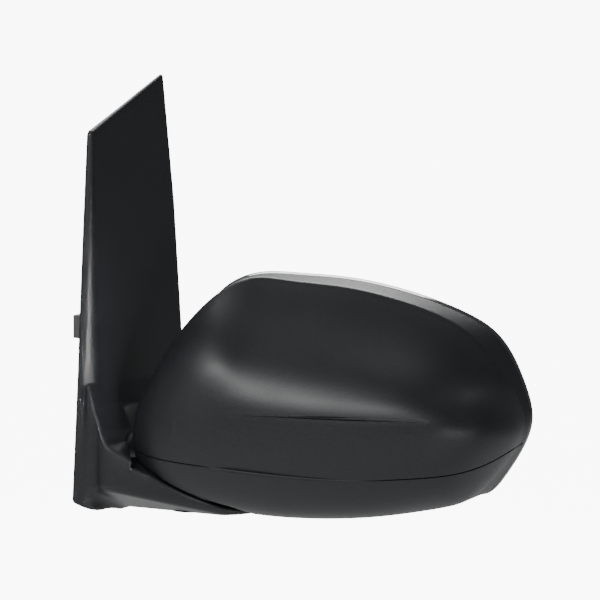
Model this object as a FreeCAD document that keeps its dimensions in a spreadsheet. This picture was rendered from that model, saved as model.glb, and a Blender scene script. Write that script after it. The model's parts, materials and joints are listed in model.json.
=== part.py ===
import FreeCAD, Part
import math
import os

# Left-hand door mirror of a van or people carrier: a tall sail cover with an arm, a folding
# head on a leaning pivot, and a power-adjusted, heated glass.
# Row frame, millimetres: +X outboard from the door, +Y rearward, +Z up. The origin is on the
# door face, at the axis of the lower fixing.
# The head's own frame stands on the fold axis at the parting plane, turned about Z:
# u outboard along the head, v rearward, w up.

Vector = FreeCAD.Vector
Placement = FreeCAD.Placement
Rotation = FreeCAD.Rotation

doc = FreeCAD.newDocument("door_mirror")
sheet = doc.addObject("Spreadsheet::Sheet", "dims")

DIMENSIONS = [
    ("wall", 2.6), ("parting_gap", 0.8), ("fold_gap", 1.2),
    ("pivot_x", 62.0), ("pivot_y", -6.8), ("pivot_z", -24.8),
    ("head_turn", 15.0), ("axis_lean", 21.0),
    ("sail_bottom_x", 13.3), ("sail_slope", 0.0392), ("sail_bottom_z", -36.0),
    ("arm_floor_z", -37.6),
    ("post_radius", 8.0), ("post_foot", -5.2),
    ("post_flange", 11.0),
    ("running_gap", 0.05), ("boss_radius", 15.0), ("boss_hole", 16.2),
    ("ring_radius", 14.0), ("lower_ring_top", 2.6), ("upper_ring_base", 2.9),
    ("hub_base", 5.6), ("hub_top", 27.0), ("hub_radius", 14.5), ("bush_radius", 10.4),
    ("seat_base", 28.7), ("seat_height", 1.6), ("spring_height", 17.0),
    ("spring_radius", 11.0), ("spring_wire", 1.15), ("spring_turns", 5.0),
    ("washer_height", 1.8), ("clip_radius", 10.5),
    ("plate_thickness", 3.5), ("insert_length", 6.5), ("insert_radius", 5.0),
    ("thread_radius", 2.5), ("insert_boss_radius", 7.5),
    ("pin_radius", 3.0), ("pin_length", 7.0), ("pin_shank", 2.6), ("tab_face_x", 1.0),
    ("front_reach", 47.2), ("side_reach", 50.4), ("rear_reach", 62.0), ("rear_from_v", 5.0),
    ("belly_from_y", -20.0), ("belly_slope", 0.45),
    ("glass_centre_u", 88.0), ("glass_centre_w", 60.0), ("glass_pivot_v", 33.0),
    ("rim_v", 34.0), ("bezel_back_v", 44.0), ("opening_inset", 9.0), ("glass_inset", 12.0),
    ("glass_curve_radius", 1400.0), ("glass_top_v", 43.0), ("glass_thickness", 2.2),
    ("heater_thickness", 0.4), ("holder_thickness", 2.0),
    ("frame_v", 9.0), ("frame_thickness", 3.0), ("frame_inset", 7.0),
    ("housing_radius", 40.0), ("housing_base_v", 13.0), ("housing_top_v", 26.0),
    ("housing_wall", 2.0), ("lid_thickness", 2.0),
    ("jack_offset", 27.0), ("jack_radius", 2.6), ("jack_ball_radius", 3.4),
    ("jack_base_v", 19.3), ("jack_ball_v", 34.2), ("cup_radius", 6.0), ("cup_bore", 4.4),
    ("gear_radius", 8.0), ("gear_base_v", 15.6), ("gear_height", 4.6), ("gear_hub_top_v", 24.6),
    ("worm_radius", 2.6), ("worm_length", 11.0), ("worm_core", 1.7), ("worm_v", 18.0),
    ("motor_radius", 6.0), ("motor_length", 20.0), ("screw_head", 3.0),
    ("gimbal_outer", 11.6), ("gimbal_inner", 8.6), ("gimbal_pin", 1.2), ("gimbal_reach", 14.8),
]
for row_number, (alias, value) in enumerate(DIMENSIONS, 1):
    sheet.set("A%d" % row_number, alias)
    sheet.set("B%d" % row_number, str(value))
    sheet.setAlias("B%d" % row_number, alias)
doc.recompute()


def dim(alias):
    return float(sheet.get(alias))


WALL = dim("wall")
HEAD = Placement(Vector(dim("pivot_x"), dim("pivot_y"), dim("pivot_z")),
                 Rotation(Vector(0, 0, 1), dim("head_turn")))
AXIS = HEAD.multiply(Placement(Vector(0, 0, 0), Rotation(Vector(0, 1, 0), dim("axis_lean"))))
# the adjuster's frame: x along u, z rearward along v, y down
ADJUST = HEAD.multiply(Placement(Vector(dim("glass_centre_u"), 0, dim("glass_centre_w")),
                                 Rotation(Vector(1, 0, 0), -90)))
LEAN = math.tan(math.radians(dim("axis_lean")))

nodes = []


def keep(obj, label, placement=None):
    """Name a finished sub-part and put it in its place."""
    obj.Label = label
    if placement is not None:
        obj.Placement = placement
    nodes.append(obj)
    return obj


def bind(obj, sizes):
    """Tie the object's properties to the sheet."""
    for prop, formula in sizes.items():
        obj.setExpression(prop, formula)
    return obj


def cylinder(name, radius, height, base="0", x="0", y="0"):
    obj = doc.addObject("Part::Cylinder", name)
    return bind(obj, {"Radius": radius, "Height": height, "Placement.Base.x": x,
                      "Placement.Base.y": y, "Placement.Base.z": base})


def cut(name, base, tool):
    obj = doc.addObject("Part::Cut", name)
    obj.Base = base
    obj.Tool = tool
    return obj


def fuse(name, shapes):
    obj = doc.addObject("Part::MultiFuse", name)
    obj.Shapes = shapes
    return obj


def formed(label, shape, placement=None):
    """A sub-part whose shape comes from Part's own functions."""
    obj = doc.addObject("Part::Feature", label)
    obj.Shape = shape
    if placement is not None:
        placement = placement.multiply(shape.Placement)
    return keep(obj, label, placement)


def tube(name, outer, bore, height, base):
    """A plain ring between two radii, all sizes from the sheet."""
    outside = cylinder(name + "_outside", outer, height, base)
    inside = cylinder(name + "_inside", bore, height, base)
    return cut(name, outside, inside)


def body_with_profile(name, role, feature, outlines):
    """A PartDesign body with one sketch of closed outlines on one of its origin planes."""
    body = doc.addObject("PartDesign::Body", name)
    sketch = body.newObject("Sketcher::SketchObject", name + "_sketch")
    plane = [o for o in body.Origin.OriginFeatures if o.Role == role][0]
    sketch.AttachmentSupport = (plane, "")
    sketch.MapMode = "FlatFace"
    for outline in outlines:
        if len(outline) == 2:
            centre, radius = outline
            sketch.addGeometry(Part.Circle(Vector(*centre, 0), Vector(0, 0, 1), radius), False)
            continue
        corners = [Vector(x, y, 0) for x, y in outline]
        for start, end in zip(corners, corners[1:] + corners[:1]):
            sketch.addGeometry(Part.LineSegment(start, end), False)
    made = body.newObject(feature, name + "_" + feature.split("::")[1].lower())
    made.Profile = sketch
    return body, sketch, made


def revolved(name, profile):
    """A turned piece: profile points are (radius, height) about the local Z axis."""
    body, sketch, turn = body_with_profile(name, "XZ_Plane", "PartDesign::Revolution", [profile])
    turn.ReferenceAxis = (sketch, ["V_Axis"])
    turn.Angle = 360
    return body


# ---- the head's outer form ------------------------------------------------------------
# Each direction round the head: rim point (u, w) on the rear plane, the ring of fullest
# girth or crease (u, v, w), the crease angle there and the roundness of the nose side.
DIRECTIONS = [
    ((197, 40), (196, 27, 40), 0, 0.60),
    ((194, 64), (190.5, 23, 65), 12, 0.60),
    ((184.5, 85), (179, 17, 82), 42, 0.50),
    ((170, 102), (165, 16, 99.5), 50, 0.42),
    ((146, 112.5), (143, 16, 111.3), 50, 0.38),
    ((118, 119.2), (115, 16, 118), 50, 0.36),
    ((86, 124.4), (85, 16, 122.9), 50, 0.36),
    ((56, 127.9), (53, 16, 127.3), 50, 0.38),
    ((32, 128), (28, 15, 128), 46, 0.42),
    ((12, 121.5), (6, 7, 115.5), 22, 0.50),
    ((-3, 105), (-15, 2, 91), 0, 0.55),
    ((-12, 78), (-32.5, 0, 61), 0, 0.55),
    ((-15.5, 47), (-40, 0, 37), 0, 0.55),
    ((-12, 21), (-36, 0, 14), 0, 0.55),
    ((-2, 4), (-14, -6, -3), 0, 0.55),
    ((38, -3.5), (30, -13, -10.5), 0, 0.55),
    ((86, -6), (68, -16, -12.3), 0, 0.55),
    ((128, -4.5), (112, -14, -10.2), 0, 0.55),
    ((158, -1.5), (150, -4, -5), 0, 0.55),
    ((172, 0), (168, 10, 0), 0, 0.55),
    ((184, 14), (183, 20, 15.5), 0, 0.55),
]
NOSE = (95.0, -51.0, 46.0)
HANDLE = 0.55
# sections between the ring and the nose; the last one is closed by a small flat
NOSE_SHARES = (0.06, 0.14, 0.26, 0.38, 0.5, 0.62, 0.74, 0.85, 0.94)
NOSE_FLAT = 0.3
RIM_V = dim("rim_v")
PARTING = [(-70, 25), (-45, 24), (10, 20.5), (60, 17.5), (107, 16.3), (155, 19.1), (187, 26.7),
           (200, 36), (215, 50)]


def inset_outline(points, inset):
    """Move each point of a closed outline towards its inside, square to its neighbours."""
    moved = []
    count = len(points)
    for i, (u, w) in enumerate(points):
        before = points[i - 1]
        after = points[(i + 1) % count]
        along_u = after[0] - before[0]
        along_w = after[1] - before[1]
        length = math.hypot(along_u, along_w)
        moved.append((u - inset * along_w / length, w + inset * along_u / length))
    return moved


def closed_wire(points):
    """One smooth closed curve, with one knot for each point."""
    curve = Part.BSplineCurve()
    count = len(points)
    curve.interpolate(Points=[Vector(*p) for p in points], PeriodicFlag=True,
                      Parameters=[float(i) for i in range(count + 1)])
    splits = [0, 5, 10, 15, count]
    return Part.Wire([curve.toShape(float(a), float(b)) for a, b in zip(splits, splits[1:])])


def rim_wire(inset, v):
    outline = inset_outline([rim for rim, ring, crease, roundness in DIRECTIONS], inset)
    return closed_wire([(u, v, w) for u, w in outline])


def nose_profile(ring, crease, roundness, share, inset):
    """A point on the cubic from the ring to the nose, share of the way along it."""
    nose_v = NOSE[1] + inset
    out_u = ring[0] - NOSE[0]
    out_w = ring[2] - NOSE[2]
    reach = math.hypot(out_u, out_w)
    depth = ring[1] - nose_v
    angle = math.radians(crease)
    handle = HANDLE * depth
    control = [(reach, ring[1]),
               (reach - handle * math.sin(angle), ring[1] - handle * math.cos(angle)),
               (roundness * reach, nose_v), (0.0, nose_v)]
    rest = 1.0 - share
    weights = [rest ** 3, 3 * share * rest ** 2, 3 * share ** 2 * rest, share ** 3]
    radius = sum(weight * point[0] for weight, point in zip(weights, control))
    v = sum(weight * point[1] for weight, point in zip(weights, control))
    return (NOSE[0] + out_u / reach * radius, v, NOSE[2] + out_w / reach * radius)


def head_form(inset, rear_v):
    """The head's closed outer form, drawn in by inset, from its nose to a flat rear."""
    rims = inset_outline([rim for rim, ring, crease, roundness in DIRECTIONS], inset)
    rings = inset_outline([(ring[0], ring[2]) for rim, ring, crease, roundness in DIRECTIONS],
                          inset)
    wires = [closed_wire([(u, rear_v, w) for u, w in rims])]
    for share in (0.35, 0.7, 1.0):
        row = []
        for (rim_u, rim_w), (ring_u, ring_w), direction in zip(rims, rings, DIRECTIONS):
            ring_v = direction[1][1]
            row.append((rim_u + (ring_u - rim_u) * share, rear_v + (ring_v - rear_v) * share,
                        rim_w + (ring_w - rim_w) * share))
        wires.append(closed_wire(row))
    for share in NOSE_SHARES:
        row = []
        for (ring_u, ring_w), direction in zip(rings, DIRECTIONS):
            ring = (ring_u, direction[1][1], ring_w)
            u, v, w = nose_profile(ring, direction[2], direction[3], share, inset)
            if share == NOSE_SHARES[-1]:
                v = NOSE[1] + inset + NOSE_FLAT
            row.append((u, v, w))
        wires.append(closed_wire(row))
    return Part.makeLoft(wires, True, True)



def below_parting(raise_by):
    """Everything under the parting line of cap and lower cover, moved up by raise_by."""
    curve = Part.BSplineCurve()
    curve.interpolate([Vector(u, -80, w + raise_by) for u, w in PARTING])
    first = PARTING[0]
    last = PARTING[-1]
    floor = -60
    corners = [Vector(last[0], -80, last[1] + raise_by), Vector(last[0], -80, floor),
               Vector(first[0], -80, floor), Vector(first[0], -80, first[1] + raise_by)]
    edges = [curve.toShape()]
    for start, end in zip(corners, corners[1:]):
        edges.append(Part.makeLine(start, end))
    return Part.Face(Part.Wire(edges)).extrude(Vector(0, 160, 0))


def rod(radius, start, end):
    """A round bar between two points."""
    axis = Vector(*end) - Vector(*start)
    return Part.makeCylinder(radius, axis.Length, Vector(*start), axis)


def block(low, high):
    """A box between two corners."""
    return Part.makeBox(high[0] - low[0], high[1] - low[1], high[2] - low[2], Vector(*low))


# the fold surface is turned about the fold axis: (radius, height) on the head's side
FOLD_DISH = [(0, 0), (17, 0), (27, 1.6), (37, 3.8)]


def turned_on_axis(profile):
    """A solid turned from (radius, height) points about the fold axis, in the head's frame."""
    outline = [Vector(r, 0, z) for r, z in profile]
    face = Part.Face(Part.makePolygon(outline + outline[:1]))
    solid = face.revolve(Vector(0, 0, 0), Vector(0, 0, 1), 360)
    solid.rotate(Vector(0, 0, 0), Vector(0, 1, 0), dim("axis_lean"))
    return solid


def above_fold(lift):
    """The head's side of the fold surface, lifted off it."""
    dish = [(r, z + lift) for r, z in FOLD_DISH]
    return turned_on_axis(dish + [(300, dish[-1][1]), (300, 260), (0, 260)])


def below_fold(drop):
    """The arm's side of the fold surface; past the head's inner end the arm may rise."""
    dish = [(r, z - drop) for r, z in FOLD_DISH]
    edge = dish[-1]
    # the rise is drawn back as far as the surface is drawn down, which leaves a wall
    draw = drop - dim("fold_gap") / 2
    front_reach = dim("front_reach") + draw
    side_reach = dim("side_reach") + draw
    rear_reach = dim("rear_reach") + draw
    around = [(300, 60), (300, -90), (0, -90)]
    free = turned_on_axis(dish + [(front_reach, edge[1]), (front_reach + 3, 60)] + around)
    low = turned_on_axis(dish + [(side_reach, edge[1]), (side_reach + 1.5, 60)] + around)
    front = block((-200, -200, -200), (200, -12, 200))
    # behind, the glass's inner corner swings by when the head is folded back
    swing = turned_on_axis([edge, (rear_reach, edge[1]), (rear_reach + 1.5, 60), (edge[0], 60)])
    rear = block((-200, dim("rear_from_v") - draw, -200), (200, 200, 200))
    return low.fuse(free.common(front)).cut(swing.common(rear))


def axis_cylinder(radius, bottom, top):
    """A cylinder round the fold axis, in the head's frame."""
    post = Part.makeCylinder(radius, top - bottom, Vector(0, 0, bottom))
    post.rotate(Vector(0, 0, 0), Vector(0, 1, 0), dim("axis_lean"))
    return post


def in_row(shape, placement):
    """The shape moved from a local frame to the row's."""
    moved = shape.copy()
    moved.Placement = placement.multiply(moved.Placement)
    return moved


def rounded_block(low, high, radius, axis):
    """A box with its edges along one axis rounded."""
    box = block(low, high)
    edges = [e for e in box.Edges if abs(abs(e.tangentAt(e.FirstParameter).dot(axis)) - 1) < 1e-6]
    return box.makeFillet(radius, edges)


# ---- head casings ---------------------------------------------------------------------
FOLD_GAP = dim("fold_gap")
HALF_GAP = dim("parting_gap") / 2
outer_form = head_form(0.0, RIM_V)
inner_form = head_form(WALL, RIM_V + 1)
head_shell = outer_form.cut(inner_form)
hub_hole = axis_cylinder(dim("hub_radius") + 2.0, -5, 30)
above_arm = above_fold(FOLD_GAP / 2)

cap_shape = head_shell.cut(below_parting(HALF_GAP)).common(above_arm)
formed("upper_cap", cap_shape, HEAD)

lower_zone = below_parting(-HALF_GAP)
lower_walls = head_shell.common(lower_zone).common(above_arm)
lower_floor = outer_form.common(lower_zone).common(above_arm)
lower_floor = lower_floor.cut(above_fold(FOLD_GAP / 2 + WALL))
lower_shape = lower_walls.fuse(lower_floor).cut(hub_hole)
formed("lower_cover", lower_shape, HEAD)

# a rubber strip closes the parting gap from inside, between the two mouldings
seal_form = head_form(WALL * 0.45, RIM_V - 1).cut(head_form(WALL, RIM_V))
seal_zone = below_parting(HALF_GAP - 0.05).cut(below_parting(0.05 - HALF_GAP))
seal_shape = seal_form.common(seal_zone).common(above_fold(FOLD_GAP + 2))
formed("cap_seal", seal_shape, HEAD)

# ---- bezel round the glass ------------------------------------------------------------
bezel_v = dim("bezel_back_v")
bezel_outer = Part.makeLoft([rim_wire(0.5, RIM_V + 0.2), rim_wire(0.2, RIM_V + 4),
                             rim_wire(0.9, RIM_V + 8), rim_wire(2.6, bezel_v)], True, False)
opening = Part.makeLoft([rim_wire(dim("opening_inset"), RIM_V - 5),
                         rim_wire(dim("opening_inset"), bezel_v + 5)], True, True)
bezel_shape = bezel_outer.cut(opening).common(above_arm)
formed("glass_bezel", bezel_shape, HEAD)

# ---- head frame: hub, plate and bezel posts -------------------------------------------
frame_v = dim("frame_v")
frame_back = frame_v + dim("frame_thickness")
plate_outline = rim_wire(dim("frame_inset"), frame_v)
frame_plate = Part.Face(plate_outline).extrude(Vector(0, dim("frame_thickness"), 0))
CENTRE_U = dim("glass_centre_u")
CENTRE_W = dim("glass_centre_w")
window = rounded_block((128, frame_v - 1, 30), (164, frame_back + 1, 88), 8, Vector(0, 1, 0))
slot = rounded_block((30, frame_v - 1, 92), (76, frame_back + 1, 112), 6, Vector(0, 1, 0))
well = rod(dim("housing_radius") - 12, (CENTRE_U, frame_v - 1, CENTRE_W),
           (CENTRE_U, frame_back + 1, CENTRE_W))
frame_plate = frame_plate.cut(window).cut(slot).cut(well)
HUB_BASE = dim("hub_base")
HUB_TOP = dim("hub_top")
hub = axis_cylinder(dim("hub_radius"), HUB_BASE, HUB_TOP)
web = block((-8, -6, 9), (44, frame_v + 1, 14)).fuse(block((6, -9, 22), (46, frame_v + 1, 27)))
rib = block((16, -2, 12), (20, frame_v + 1, 40))
frame_shape = frame_plate.fuse([hub, web, rib])
frame_shape = frame_shape.cut(axis_cylinder(dim("bush_radius"), HUB_BASE - 1, HUB_TOP + 1))
frame_shape = frame_shape.cut(axis_cylinder(15.4, HUB_TOP, HUB_TOP + 50))
frame_shape = frame_shape.cut(axis_cylinder(60, HUB_TOP, HUB_TOP + 40).common(
    block((-60, -60, 0), (60, frame_v, 140))))
frame_shape = frame_shape.cut(axis_cylinder(17, -10, HUB_BASE)).common(
    head_form(WALL + 0.6, RIM_V - 1)).common(above_fold(FOLD_GAP / 2 + WALL + 0.4))
# posts for the bezel screws: u, w, the v where the post starts, and its gusset's end above that
BEZEL_POSTS = [(40, 121.4, 20, 3), (150, 102.6, 20, 3), (190.2, 40, 20, -0.8), (96, 0.6, 12, 3),
               (14, 3.6, 12, 3)]
POST_R = 2.5
for u, w, foot, gusset_end in BEZEL_POSTS:
    toward_u = (CENTRE_U - u) * 0.16
    toward_w = (CENTRE_W - w) * 0.24
    gusset = rod(3.0, (u + toward_u, frame_v, w + toward_w), (u, foot + gusset_end, w))
    lug = rod(POST_R, (u, foot, w), (u, RIM_V + 0.2, w))
    frame_shape = frame_shape.fuse(gusset.common(head_form(WALL + 0.6, RIM_V - 1))).fuse(lug)
for u, w, foot, _ in BEZEL_POSTS:
    frame_shape = frame_shape.cut(rod(1.0, (u, foot - 1, w), (u, RIM_V + 1, w)))
    frame_shape = frame_shape.cut(rod(2.6, (u, frame_v - 3, w), (u, foot, w)))
formed("head_frame", frame_shape, HEAD)

bezel_screws = []
for u, w, foot, _ in BEZEL_POSTS:
    shank = rod(0.98, (u, foot - 1, w), (u, RIM_V - 1, w))
    head = rod(2.3, (u, foot - 2, w), (u, foot - 0.05, w))
    socket = rod(1.0, (u, foot - 2.1, w), (u, foot - 1.1, w))
    bezel_screws.append(shank.fuse(head).cut(socket))
formed("bezel_screws", Part.makeCompound(bezel_screws), HEAD)

# ---- sail cover: tall wedge and arm in one moulding --------------------------------------
# side outline (y, z) at the door, from the lower front corner round the top
SAIL_OUTLINE = [(-54.4, -37), (-34.4, 193), (51, 219.5), (58, 141), (59, 88), (60, 64), (62, -34)]
SAIL_DOOR_X = 0.4
# arm in plan (x, y), from its root at the front round the outer end to the rear
ARM_PLAN = [(5, -50), (13, -53.2), (30, -48), (50, -38.5), (68, -30), (85, -22), (97, -10),
            (102.5, 4), (98, 15), (84, 21), (64, 22), (40, 19), (22, 20), (12, 24), (5, 22), (4, 0)]
# upper edge of the arm seen from the front (x, z)
ARM_TOP = [(4, 50), (13, 30), (17, 18), (20, 10.5), (24.5, 4.6), (31.6, -0.5), (39, -5),
           (46, -8), (60, -12), (110, -24)]
ARM_FLOOR = dim("arm_floor_z")


def yz_prism(outline, x_from, x_to):
    """An outline of (y, z) points pulled along X."""
    points = [Vector(x_from, y, z) for y, z in outline]
    face = Part.Face(Part.makePolygon(points + points[:1]))
    return face.extrude(Vector(x_to - x_from, 0, 0))


def outer_side(offset):
    """The space inboard of the sail's sloping outer face, moved inboard by offset."""
    slope = dim("sail_slope")
    bottom_x = dim("sail_bottom_x") - offset
    base_z = dim("sail_bottom_z")
    low = -80
    high = 260
    corners = [(-30, low), (bottom_x + slope * (base_z - low), low),
               (bottom_x + slope * (base_z - high), high), (-30, high)]
    points = [Vector(x, -120, z) for x, z in corners]
    return Part.Face(Part.makePolygon(points + points[:1])).extrude(Vector(0, 240, 0))


def sail_form(inset, door_x):
    """The sail's closed form drawn in by inset, with its sloping underside."""
    outline = inset_outline(SAIL_OUTLINE[::-1], inset)
    solid = yz_prism(outline, door_x, 20).common(outer_side(inset))
    under = [(-10, -24 + inset), (20, -39.5 + inset), (20, -90), (-10, -90)]
    points = [Vector(x, -120, z) for x, z in under]
    underside = Part.Face(Part.makePolygon(points + points[:1])).extrude(Vector(0, 240, 0))
    return solid.cut(underside)


def arm_form(inset):
    """The arm's closed form drawn in by inset, up to the fold surface."""
    plan = inset_outline(ARM_PLAN, inset)
    prism = Part.Face(closed_arm_wire([(x, y, ARM_FLOOR + inset) for x, y in plan]))
    prism = prism.extrude(Vector(0, 0, 110))
    top = Part.BSplineCurve()
    top.interpolate([Vector(x, -120, z - inset) for x, z in ARM_TOP])
    corners = [Vector(ARM_TOP[-1][0], -120, ARM_TOP[-1][1] - inset), Vector(110, -120, -90),
               Vector(4, -120, -90), Vector(4, -120, ARM_TOP[0][1] - inset)]
    edges = [top.toShape()]
    for start, end in zip(corners, corners[1:]):
        edges.append(Part.makeLine(start, end))
    profile = Part.Face(Part.Wire(edges)).extrude(Vector(0, 240, 0))
    fold = in_row(below_fold(FOLD_GAP / 2 + inset), HEAD)
    # the underside slopes up towards the front, away from the pivot
    from_y = dim("belly_from_y")
    low = ARM_FLOOR + inset
    belly = yz_prism([(from_y, low), (-70, low + dim("belly_slope") * (from_y + 70)), (-70, -90),
                      (from_y, -90)], 0, 120)
    return prism.common(profile).common(fold).cut(belly)


def closed_arm_wire(points):
    curve = Part.BSplineCurve()
    curve.interpolate(Points=[Vector(*p) for p in points], PeriodicFlag=True)
    return Part.Wire([curve.toShape()])


sail_outer = sail_form(0.0, SAIL_DOOR_X)
front_edges = []
for edge in sail_outer.Edges:
    ends = [v.Point for v in edge.Vertexes]
    if len(ends) == 2 and min(e.x for e in ends) > 3 and max(e.y for e in ends) < -30:
        if abs(ends[0].z - ends[1].z) > 100:
            front_edges.append(edge)
front_low = front_edges[0]
if front_low.Vertexes[0].Point.z < front_low.Vertexes[1].Point.z:
    sail_outer = sail_outer.makeFillet(9.0, 2.6, [front_low])
else:
    sail_outer = sail_outer.makeFillet(2.6, 9.0, [front_low])
arm_outer = arm_form(0.0)
cavity = sail_form(WALL, -5).fuse(arm_form(WALL + 0.6))
boss_opening = in_row(axis_cylinder(dim("boss_hole"), -4.4, 6), HEAD)
plug_x = dim("pivot_x") - 4.4
plug_y = dim("pivot_y") - 1.2
plug_hole = Part.makeCylinder(12, 6, Vector(plug_x, plug_y, ARM_FLOOR - 1))
sail_shape = sail_outer.fuse(arm_outer).cut(cavity).cut(boss_opening).cut(plug_hole)
COVER_SCREWS = [(-28, 55.5), (38, 2), (34, 26)]
for y, z in COVER_SCREWS:
    pillar = rod(3.4, (3.7, y, z), (11, y, z)).common(outer_side(1.0))
    sail_shape = sail_shape.fuse(pillar).cut(rod(1.4, (3.5, y, z), (8.5, y, z)))
formed("sail_cover", sail_shape)

# ---- base bracket: door plate and arm core ------------------------------------------------
INSERTS = [(0, 0), (-24, 42), (32, 46)]
plate_x = dim("plate_thickness")
door_plate = rounded_block((0, -38, -19), (plate_x, 44, 56), 8, Vector(1, 0, 0))
upper_tab = rounded_block((dim("tab_face_x"), -34, 40), (plate_x, 20, 84), 5, Vector(1, 0, 0))
root_block = block((2.7, -32, -31), (12, 20, 8)).common(sail_form(WALL + 0.6, 1.0))
front_corner = block((0, -60, -60), (17, -42, 60))
arm_core = arm_form(WALL + 1.1).cut(front_corner)
pivot_boss = in_row(axis_cylinder(dim("boss_radius"), -8.5, 0), HEAD)
pivot_boss = pivot_boss.common(block((0, -60, ARM_FLOOR + WALL + 1.1), (140, 60, 20)))
bracket = door_plate.fuse([upper_tab, root_block, arm_core, pivot_boss])
for y, z in INSERTS:
    bracket = bracket.fuse(rod(dim("insert_boss_radius"), (1, y, z), (6.9, y, z)).common(
        sail_form(WALL + 0.6, 0.5)))
for y, z in INSERTS:
    bracket = bracket.cut(rod(dim("insert_radius"), (-1, y, z), (dim("insert_length"), y, z)))
for y, z in COVER_SCREWS:
    bracket = bracket.cut(rod(1.7, (-1, y, z), (9, y, z)))
    bracket = bracket.cut(rod(dim("screw_head") + 0.3, (-1, y, z), (2.4, y, z)))
    bracket = bracket.cut(rod(3.8, (3.4, y, z), (12, y, z)))
PIN_Y = 10
PIN_Z = 66
bracket = bracket.cut(rod(dim("pin_shank"), (-1, PIN_Y, PIN_Z), (9, PIN_Y, PIN_Z)))
SOCKET_LOW = (-12.0, -30.0, 65.0)
SOCKET_HIGH = (3.4, -8.0, 79.0)
bracket = bracket.cut(block((-1, SOCKET_LOW[1] + 1, SOCKET_LOW[2] + 1),
                            (9, SOCKET_HIGH[1] - 1, SOCKET_HIGH[2] - 1)))
bracket = bracket.cut(in_row(axis_cylinder(dim("post_radius"), -30, 20), HEAD))
bracket = bracket.cut(in_row(axis_cylinder(dim("post_flange") + 0.2, -30, dim("post_foot")), HEAD))
lightening = rounded_block((-1, -14, 10), (6, 14, 34), 5, Vector(1, 0, 0))
bracket = bracket.cut(lightening)
formed("base_bracket", bracket)

# ---- what is fixed to the base bracket ----------------------------------------------------
inserts = []
for y, z in INSERTS:
    sleeve = rod(dim("insert_radius"), (0, y, z), (dim("insert_length"), y, z))
    inserts.append(sleeve.cut(rod(dim("thread_radius"), (-1, y, z), (20, y, z))))
formed("threaded_inserts", Part.makeCompound(inserts))

pin_end = -dim("pin_length")
tab_x = dim("tab_face_x")
pin_shape = rod(dim("pin_radius"), (pin_end, PIN_Y, PIN_Z), (tab_x, PIN_Y, PIN_Z)).fuse(
    rod(dim("pin_shank"), (tab_x - 0.5, PIN_Y, PIN_Z), (plate_x, PIN_Y, PIN_Z)))
formed("locating_pin", pin_shape)

cover_screws = []
for y, z in COVER_SCREWS:
    head = rod(dim("screw_head"), (0.5, y, z), (2.3, y, z)).cut(rod(1.2, (0.4, y, z), (1.4, y, z)))
    cover_screws.append(head.fuse(rod(1.38, (2.2, y, z), (8.2, y, z))))
formed("cover_screws", Part.makeCompound(cover_screws))

gasket_outer = sail_form(WALL + 0.3, 0.0).common(block((0, -120, -60), (2.5, 120, 260)))
gasket_hole = yz_prism(inset_outline(SAIL_OUTLINE[::-1], WALL + 6.0), -1, 5)
gasket_floor = block((-1, -120, -60), (5, 120, -19.4))
formed("door_gasket", gasket_outer.cut(gasket_hole.cut(gasket_floor)))

socket_wall = 1.5
socket_shape = block(SOCKET_LOW, (SOCKET_HIGH[0] + 1.6, SOCKET_HIGH[1], SOCKET_HIGH[2]))
throat = block((SOCKET_LOW[0] - 1, SOCKET_LOW[1] + 2.6, SOCKET_LOW[2] + 2.6),
               (0.0, SOCKET_HIGH[1] - 2.6, SOCKET_HIGH[2] - 2.6))
neck_outer = block((1.0, -200, 0), (plate_x, 200, 200))
neck_inner = block((1.0, SOCKET_LOW[1] + 1, SOCKET_LOW[2] + 1),
                   (plate_x, SOCKET_HIGH[1] - 1, SOCKET_HIGH[2] - 1))
formed("connector_socket", socket_shape.cut(throat).cut(neck_outer.cut(neck_inner)))

terminals = []
for column in range(3):
    for row in range(2):
        y = -19.0 + (column - 1) * 4.4
        z = 72.0 + (row - 0.5) * 3.6
        terminals.append(block((-8, y - 0.5, z - 0.5), (2, y + 0.5, z + 0.5)))
socket_node = nodes[-1]
socket_node.Shape = socket_node.Shape.cut(Part.makeCompound(terminals))
formed("connector_terminals", Part.makeCompound(terminals))

plug_disc = Part.makeCylinder(11.9, 2.4, Vector(plug_x, plug_y, ARM_FLOOR))
formed("arm_plug", plug_disc.cut(
    Part.makeCylinder(9, 4, Vector(plug_x, plug_y, ARM_FLOOR + 1.6))))

# ---- fold pivot ---------------------------------------------------------------------------
post_profile = [(5.0, -6.8), (10.6, -6.8), (10.6, -5.2), (8.0, -5.2), (8.0, 49.6),
                (7.1, 49.6), (7.1, 50.8), (8.0, 50.8), (8.0, 55.2), (7.2, 56.0), (5.0, 56.0)]
keep(revolved("post_body", post_profile), "pivot_post", AXIS)

lower_ring = tube("lower_ring", "dims.ring_radius", "dims.post_radius + dims.running_gap",
                  "dims.lower_ring_top", "0")
keep(lower_ring, "detent_ring_lower", AXIS)
upper_ring = tube("upper_ring", "dims.ring_radius", "dims.post_radius + dims.running_gap",
                  "dims.hub_base - dims.upper_ring_base", "dims.upper_ring_base")
keep(upper_ring, "detent_ring_upper", AXIS)

bush_profile = [(8.05, HUB_BASE), (10.4, HUB_BASE), (10.4, HUB_BASE + 8.0), (8.05, HUB_BASE + 8.0)]
keep(revolved("bush_low", bush_profile), "pivot_bush_lower", AXIS)
bush_profile = [(8.05, HUB_TOP - 8.0), (10.4, HUB_TOP - 8.0), (10.4, HUB_TOP), (13.2, HUB_TOP),
                (13.2, HUB_TOP + 1.4), (8.05, HUB_TOP + 1.4)]
keep(revolved("bush_high", bush_profile), "pivot_bush_upper", AXIS)

keep(tube("seat", "dims.ring_radius", "dims.post_radius", "dims.seat_height",
          "dims.seat_base"), "spring_seat", AXIS)
spring_base = dim("seat_base") + dim("seat_height")
spring_top = spring_base + dim("spring_height")
keep(tube("washer", "dims.ring_radius", "dims.post_radius", "dims.washer_height",
          "dims.seat_base + dims.seat_height + dims.spring_height"), "spring_washer", AXIS)

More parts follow.
